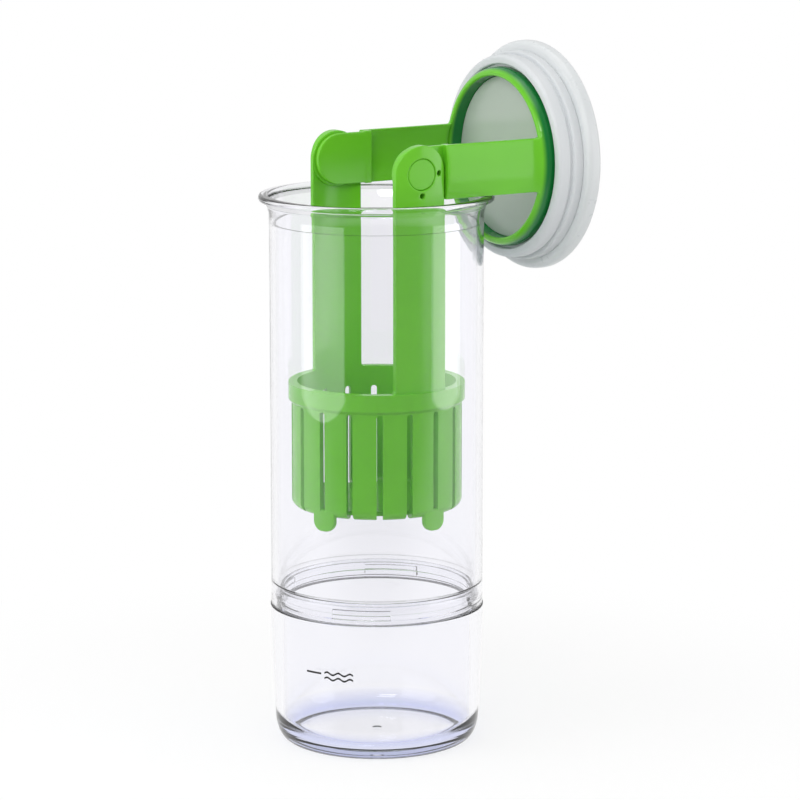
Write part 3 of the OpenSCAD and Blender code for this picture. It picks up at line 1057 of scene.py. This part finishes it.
bm = bmesh.new()
bm.from_mesh(cells)
bmesh.ops.recalc_face_normals(bm, faces=bm.faces)
wall = as_piece(bm, "basket_wall")
soften = wall.modifiers.new("soften", "BEVEL")
soften.width = SOFT * MM
soften.segments = 3
soften.limit_method = "ANGLE"
soften.angle_limit = math.radians(38)
settle(wall)

bm = bmesh.new()
bm.from_mesh(wall.data)
bpy.data.objects.remove(wall)
strip_faces = (round_face(strip_r), round_face(strip_r - UPRIGHT_T))
pad_faces = (round_face(strip_r - PAD_UNDER), flat_face(head_y))
for side in (-1, 1):
    plate(bm, [upright, *head_holes(0)], *strip_faces, EDGE, facing(side))
    plate(bm, [pad, *head_holes(HOLE_ROOM)], *pad_faces, EDGE, facing(side))
print("wall and uprights:", len(bm.faces), "faces")

# %% The feet
FOOT_W = 10.8
FOOT_R = 4.4
FOOT_UP = 3.2  # how far above the basket's underside a foot begins
FOOT_IN = 0.25  # how far its face lies inside the basket's
FOOT_OUT = 0.05  # and its back outside the basket's inner face
FOOT_STEP = 1.0
FOOT_TURN = 80  # degrees from a foot to its neighbour
foot = bmesh.new()
foot_outline = resampled(
    rounded(
        [
            (-FOOT_W / 2, foot_z, FOOT_R),
            (FOOT_W / 2, foot_z, FOOT_R),
            (FOOT_W / 2, basket_z + FOOT_UP, 0.6),
            (-FOOT_W / 2, basket_z + FOOT_UP, 0.6),
        ],
        steps=8,
    ),
    FOOT_STEP,
)
foot_faces = (round_face(basket_r - FOOT_IN), round_face(inner_r + FOOT_OUT))
plate(foot, [foot_outline], *foot_faces, EDGE, lambda u, v, depth: (depth, u, v))
foot_mesh = bpy.data.meshes.new("foot")
foot.to_mesh(foot_mesh)
foot.free()
pair = repeated(foot_mesh, 2, -FOOT_TURN, -FOOT_TURN, green)
feet = repeated(pair, 2, 180, 0, green)
bm.from_mesh(feet)
basket = as_piece(bm, "basket_moulding")
finish(basket, "basket", "basket", green)

# %% [markdown]
# ## The lid's frame
# The lid is drawn about its own axis, which runs from the pivots to the lid, and then
# laid over towards +X. A ring holds the lid, and two arms run from it to the pivots.
# Behind each head an arm steps in to a round hub, whose boss clips into the head.

# %% The lid's main sizes
ARM_W = 22.8
ARM_T = 2.3
ARM_GAP = 0.6  # between a head's edge and the end of its arm
ARM_FLARE = 7  # length over which the arms flare out to the ring's side
ARM_SPREAD = 3  # how much wider an arm is on each side where it meets the ring
ARM_FILLET = 2.2
ARM_SHORT = 0.5  # the arms end this far before the end of the ring's slope
UNDER_SIDE = 0.06  # how far the end of a flare lies under the ring's side
SHIFT = 2.0  # how far the inside of an arm steps out within the ring's wall
SHIFT_FROM = 0.4  # it begins this far before the ring's front
SHIFT_LENGTH = 0.6
ROOT_IN = 0.4  # an arm's fillets end this far behind the ring's front
HUB_R = 11
HUB_T = 2.3
HUB_GAP = 0.3  # between a hub and its head
HUB_REACH = 1  # how far a hub's plate reaches along the arm
BOSS_R = 6.6
BOSS_SINK = 1  # how deep a boss is rooted in its hub
BOSS_SHORT = 0.7  # how far a boss ends inside the face of the upright
STEP_LENGTH = 3.5  # of the wall that joins a hub to its arm
STEP_IN = 0.05  # how far that wall stays inside the arm's outline
STEP_UNDER = 0.4  # and under its face
RING_T = 3.8
RING_STEP = 2.4  # how far the ring's side stands out past the arms
RING_EDGE = 1.1
RING_PROUD = 4.3
RING_ROOT = 2  # thickness of the ring's wall and of its ledge, behind the disc
RING_LEDGE = 1.5  # how far the ledge reaches in behind the disc
RING_GAP = 0.1  # between the ring and the flange
PLUG_H = 11.5  # from the seal's front to the flange
DISC_T = 1.6
folded = Matrix.Translation((0, 0, pivot_z * MM)) @ Matrix.Rotation(math.pi / 2, 4, "Y")
arm_half = ARM_W / 2
arm_end = half + ARM_GAP
hub_y = head_y - HUB_GAP
hub_back = hub_y - HUB_T
ring_r = strip_r + RING_STEP
ring_in = ring_r - RING_T
slope_end = ring_front + RING_PROUD
arm_tip = slope_end - ARM_SHORT
flange_x = lid_front + PLUG_H
disc_x = ring_front + DISC_DEPTH
disc_back = disc_x + DISC_T
print("arms from", arm_end, "to", arm_tip, "ring", ring_in, "to", ring_r)

# %% The arms' faces and outlines


def lid_side(side):
    """Puts a plate of the lid on one side; v runs along the arm from the pivots."""
    return lambda u, v, depth: (v, side * depth, pivot_z - u)


def flared(u, v):
    """The outside of an arm, which flares out to just under the ring's side."""
    t = min(max((v - arm_tip + ARM_FLARE) / ARM_FLARE, 0), 1)
    radius = strip_r + (RING_STEP - UNDER_SIDE) * (1 - math.cos(math.pi * t)) / 2
    return math.sqrt(radius**2 - u**2)


def arm_back(u, v):
    """The inside of an arm, which steps out to lie within the ring's wall."""
    t = min(max((v - ring_front + SHIFT_FROM) / SHIFT_LENGTH, 0), 1)
    return math.sqrt((strip_r - ARM_T + t * SHIFT) ** 2 - u**2)


wide = arm_half + ARM_SPREAD
arm_root = ring_front + ROOT_IN
arm_outline = resampled(
    rounded(
        [
            (-arm_half, arm_end, 0.5),
            (arm_half, arm_end, 0.5),
            (arm_half, arm_root, ARM_FILLET),
            (wide, arm_root, 0),
            (wide, arm_tip, 0),
            (-wide, arm_tip, 0),
            (-wide, arm_root, 0),
            (-arm_half, arm_root, ARM_FILLET),
        ],
        steps=8,
    )
)
hub_end = arm_end + HUB_REACH
hub_outline = resampled(
    rounded(
        [
            (-HUB_R, -HUB_R, HUB_R),
            (HUB_R, -HUB_R, HUB_R),
            (HUB_R, hub_end, 0),
            (-HUB_R, hub_end, 0),
        ],
        steps=16,
    )
)
step_half = arm_half - STEP_IN
step_outline = resampled(
    rounded(
        [
            (-step_half, arm_end + STEP_IN, 0.5),
            (step_half, arm_end + STEP_IN, 0.5),
            (step_half, arm_end + STEP_LENGTH, 0.5),
            (-step_half, arm_end + STEP_LENGTH, 0.5),
        ],
        steps=3,
    )
)
print("outlines:", len(arm_outline), len(hub_outline), len(step_outline), "points")

# %% The lid's frame
boss = rounded(
    [
        (0, hub_y - BOSS_SINK, 0),
        (BOSS_R, hub_y - BOSS_SINK, 0),
        (BOSS_R, strip_r - BOSS_SHORT, 0.6),
        (0, strip_r - BOSS_SHORT, 0),
    ]
)
crest = ring_in + RING_EDGE
ring_section = rounded(
    [
        *oval(crest, ring_front + RING_EDGE, RING_EDGE, RING_EDGE, 180, 270),
        *oval(crest, slope_end, RING_T - RING_EDGE, RING_PROUD, 270, 360)[1:],
        (ring_r, flange_x - RING_GAP, 0),
        (ring_r - RING_ROOT, flange_x - RING_GAP, 0.3),
        (ring_r - RING_ROOT, disc_back + RING_ROOT, 0.3),
        (ring_in - RING_LEDGE, disc_back + RING_ROOT, 0.3),
        (ring_in - RING_LEDGE, disc_back, 0.2),
        (ring_in, disc_back, 0),
    ]
)

bm = bmesh.new()
step_faces = (round_face(strip_r - STEP_UNDER), flat_face(hub_back))
for side in (-1, 1):
    place = lid_side(side)
    plate(bm, [arm_outline], flared, arm_back, EDGE, place)
    plate(bm, [hub_outline], flat_face(hub_y), flat_face(hub_back), EDGE, place)
    plate(bm, [step_outline], *step_faces, EDGE, place)
    across = Matrix.Rotation(-side * math.pi / 2, 4, "X")
    turned(bm, boss, Matrix.Translation((0, 0, pivot_z * MM)) @ across, angles=even(64))
turned(bm, ring_section, folded)
lid_frame = as_piece(bm, "lid_frame_moulding")
finish(lid_frame, "lid", "lid_frame", green)

# %% [markdown]
# ## The lid
# The lid is a white shell: a round flange that closes on the rim, and a wall that
# carries the seal. The seal has a plug lip that goes into the mouth and a wider band
# next to the flange. A pale disc closes the lid inside the green ring.

# %% The lid
FLANGE_EDGE = 2.4
FLANGE_BACK = 0.4  # the flange's edge ends this far before the lid's back
TOP_T = 2.6
DISH = 0.8
DISH_FROM = 9  # the lid's back starts to dip this far in from the flange's edge
DISH_FULL = 14  # and has dipped here
SEAL_T = 2.2
PLUG_GAP = 0.3  # between the mouth and the seal's lip
plug_r = tube_r - MOUTH_WALL - PLUG_GAP
core_r = plug_r - SEAL_T
top_x = lid_back - DISH - TOP_T
seal_root = lid_front + SEAL_T

bm = bmesh.new()
turned(
    bm,
    rounded(
        [
            (0, top_x, 0),
            (ring_r, top_x, 0.5),
            (ring_r, seal_root, 0.2),
            (core_r, seal_root, 0.2),
            (core_r, flange_x, 0.1),
            (flange_r, flange_x, FLANGE_EDGE),
            (flange_r, lid_back - FLANGE_BACK, FLANGE_EDGE * 1.1),
            (flange_r - DISH_FROM, lid_back, 6),
            (flange_r - DISH_FULL, lid_back - DISH, 4),
            (0, lid_back - DISH, 0),
        ],
        steps=8,
    ),
    folded,
)
lid_cap = as_piece(bm, "lid_cap_shell")
finish(lid_cap, "lid", "lid_cap", white)

# %% The seal and the disc
LIP_GAP = 1.1  # between the ring and the seal's lip
SEAL_OUT = 1.4  # how far the band stands out past the lip
BAND_W = 4.3
WAIST = 0.6  # depth of the waist between the lip and the band
WAIST_FROM = 1.6  # it begins this far before the band
WAIST_FULL = 0.9  # and has its depth here
DISC_GAP = 0.05  # between the disc and the ring
band_x = flange_x - BAND_W
lip_in = ring_r + LIP_GAP
disc_r = ring_in - DISC_GAP

bm = bmesh.new()
turned(
    bm,
    rounded(
        [
            (lip_in, seal_root, 0),
            (lip_in, lid_front, 0.9),
            (plug_r, lid_front, 1.8),
            (plug_r, band_x - WAIST_FROM, 0.3),
            (plug_r - WAIST, band_x - WAIST_FULL, 0.4),
            (plug_r - WAIST, band_x, 0.2),
            (plug_r + SEAL_OUT, band_x, 0.9),
            (plug_r + SEAL_OUT, flange_x, 0.5),
            (core_r, flange_x, 0),
            (core_r, seal_root, 0),
        ],
        steps=6,
    ),
    folded,
)
lid_seal = as_piece(bm, "lid_seal_ring")
finish(lid_seal, "lid", "lid_seal", soft_white)

bm = bmesh.new()
disc_section = rounded(
    [(0, disc_x, 0), (disc_r, disc_x, 0.4), (disc_r, disc_back, 0.2), (0, disc_back, 0)]
)
turned(bm, disc_section, folded)
lid_disc = as_piece(bm, "lid_inner_disc")
finish(lid_disc, "lid", "lid_liner", pale)

# %% [markdown]
# ## The studio
# The floor is white and endless. Seen by the camera or through the clear plastic it
# is plain white far off, and near the object a white that keeps the shadow. Behind
# the object the room is white, and on the camera's side it is dim, as a real studio
# is: that is what a reflection shows, and it keeps the clear walls free of haze. Seen
# through the clear plastic, the sky gets dimmer overhead.

# %% The floor
FLOOR_SIZE = 12.0
FLOOR_DROP = 0.0002
FLOOR_GREY = 0.75  # the floor's colour for light that bounces off it
FLOOR_LIT = 0.34  # the share of the near floor's white that comes from the lamps
LAMPS = 0.94  # how bright the lamps make a white floor
SHADOW_NEAR = 0.1  # the shadow is kept in full up to this distance, in metres
SHADOW_FAR = 0.3  # and has gone here
ROOM = 0.3  # brightness of the room on the camera's side
DIM_UP_TO = -0.5  # metres past the axis: a mirrored floor is as dim as the room up to here
WHITE_FROM = -0.15  # and white from here on
AHEAD = (math.sin(TURN), math.cos(TURN), 0)  # level, and away from the camera

floor_material, tree = new_material("white_sweep")
path = add(tree, "ShaderNodeLightPath").outputs
place = add(tree, "ShaderNodeTexCoord").outputs["Object"]
distance = add(tree, "ShaderNodeVectorMath", {0: place}, operation="LENGTH").outputs["Value"]
ahead = add(tree, "ShaderNodeVectorMath", {0: place, 1: AHEAD}, operation="DOT_PRODUCT")
bounce = add(tree, "ShaderNodeBsdfDiffuse", {"Color": (FLOOR_GREY, FLOOR_GREY, FLOOR_GREY, 1)})
lit = add(tree, "ShaderNodeBsdfDiffuse", {"Color": (FLOOR_LIT, FLOOR_LIT, FLOOR_LIT, 1)})
glow = add(tree, "ShaderNodeEmission", {"Strength": 1 - FLOOR_LIT * LAMPS})
near = add(tree, "ShaderNodeAddShader", {0: lit.outputs[0], 1: glow.outputs[0]})
far = add(tree, "ShaderNodeEmission", {"Strength": 1.0})
fade, brightness = [
    add(
        tree,
        "ShaderNodeMapRange",
        {"Value": value, "From Min": start, "From Max": end, "To Min": low, "To Max": 1.0},
        interpolation_type="SMOOTHSTEP",
    ).outputs["Result"]
    for value, start, end, low in (
        (distance, SHADOW_NEAR, SHADOW_FAR, 0.0),
        (ahead.outputs["Value"], DIM_UP_TO, WHITE_FROM, ROOM),
    )
]
shown = add(tree, "ShaderNodeMixShader", {0: fade, 1: near.outputs[0], 2: far.outputs[0]})
mirrored = add(tree, "ShaderNodeEmission", {"Strength": brightness})
seen = add(
    tree,
    "ShaderNodeMath",
    {0: path["Is Camera Ray"], 1: path["Is Transmission Ray"]},
    operation="MAXIMUM",
)
first = add(
    tree, "ShaderNodeMixShader", {0: seen.outputs[0], 1: bounce.outputs[0], 2: shown.outputs[0]}
)
both = add(
    tree,
    "ShaderNodeMixShader",
    {0: path["Is Glossy Ray"], 1: first.outputs[0], 2: mirrored.outputs[0]},
)
add(tree, "ShaderNodeOutputMaterial", {"Surface": both.outputs[0]})

bm = bmesh.new()
bmesh.ops.create_grid(bm, x_segments=1, y_segments=1, size=FLOOR_SIZE)
bmesh.ops.translate(bm, verts=bm.verts, vec=(0, 0, -FLOOR_DROP))
floor_mesh = bpy.data.meshes.new("floor")
bm.to_mesh(floor_mesh)
bm.free()
floor_mesh.materials.append(floor_material)
floor = bpy.data.objects.new("floor", floor_mesh)
bpy.context.scene.collection.objects.link(floor)
print("floor", 2 * FLOOR_SIZE, "metres wide")

# %% The sky
SKY_LIGHT = 0.6  # brightness of the sky where it only lights the object
AROUND = (-0.1, 0.3)  # shares of AHEAD between which a mirrored room turns white
OVERHEAD = (0.2, 0.6)  # shares of up between which the sky behind clear plastic gets dim
OVERHEAD_DIM = 0.3

world = bpy.data.worlds.new("studio")
bpy.context.scene.world = world
world.use_nodes = True
tree = world.node_tree
tree.nodes.clear()
path = add(tree, "ShaderNodeLightPath").outputs
direction = add(tree, "ShaderNodeTexCoord").outputs["Generated"]
up = add(tree, "ShaderNodeSeparateXYZ", {0: direction}).outputs["Z"]
ahead = add(tree, "ShaderNodeVectorMath", {0: direction, 1: AHEAD}, operation="DOT_PRODUCT")
around, overhead = [
    add(
        tree,
        "ShaderNodeMapRange",
        {"Value": value, "From Min": start, "From Max": end, "To Min": low, "To Max": high},
        interpolation_type="SMOOTHSTEP",
    ).outputs["Result"]
    for value, (start, end), low, high in (
        (ahead.outputs["Value"], AROUND, ROOM, 1.0),
        (up, OVERHEAD, 1.0, OVERHEAD_DIM),
    )
]
level = add(tree, "ShaderNodeMix", {0: path["Is Glossy Ray"], 2: overhead, 3: around})
level = add(
    tree,
    "ShaderNodeMath",
    {0: level.outputs[0], 1: path["Is Camera Ray"]},
    operation="MAXIMUM",
)
view_sky = add(tree, "ShaderNodeBackground", {"Strength": level.outputs[0]})
light_sky = add(tree, "ShaderNodeBackground", {"Strength": SKY_LIGHT})
shown = path["Is Camera Ray"]
for kind in ("Is Glossy Ray", "Is Transmission Ray"):
    shown = add(
        tree, "ShaderNodeMath", {0: shown, 1: path[kind]}, operation="MAXIMUM"
    ).outputs[0]
sky = add(
    tree, "ShaderNodeMixShader", {0: shown, 1: light_sky.outputs[0], 2: view_sky.outputs[0]}
)
add(tree, "ShaderNodeOutputWorld", {"Surface": sky.outputs[0]})

# %% [markdown]
# Two tall soft boxes stand just over the floor, to the left and right of the camera,
# and shine level. The left one gives the haze down the left side of the tube, and the
# right one the sheen on the upper half of the arm. A smaller and brighter one shines
# down from beside the camera, and a fourth hangs overhead. Each is set by how bright
# its face is, where 1 is white.

# %% The lamps


def soft_box(name, turn, away, height, size, brightness, tip=0):
    """A lamp that shines on the object from turn degrees round from the camera.

    It stands away metres from the axis at a height, and is tipped down by tip degrees.
    """
    lamp = bpy.data.objects.new(name, bpy.data.lights.new(name, "AREA"))
    lamp.data.shape = "RECTANGLE"
    lamp.data.size, lamp.data.size_y = size
    lamp.data.energy = brightness * math.pi * size[0] * size[1]
    angle = -TURN + math.radians(turn)
    lamp.location = (away * math.sin(angle), -away * math.cos(angle), height)
    lamp.rotation_euler = (math.pi / 2 - math.radians(tip), 0, angle)
    bpy.context.scene.collection.objects.link(lamp)


soft_box("left", -60, 0.62, 0.3, (0.6, 0.54), 1.5)
soft_box("right", 80, 0.75, 0.31, (0.5, 0.6), 1.5)
soft_box("front", -15, 1.1, 0.85, (0.5, 0.4), 6.0, tip=38)
soft_box("top", 0, 0.05, 1.1, (0.8, 0.8), 1.3, tip=90)
print("lamps:", *[item.name for item in bpy.data.lights])
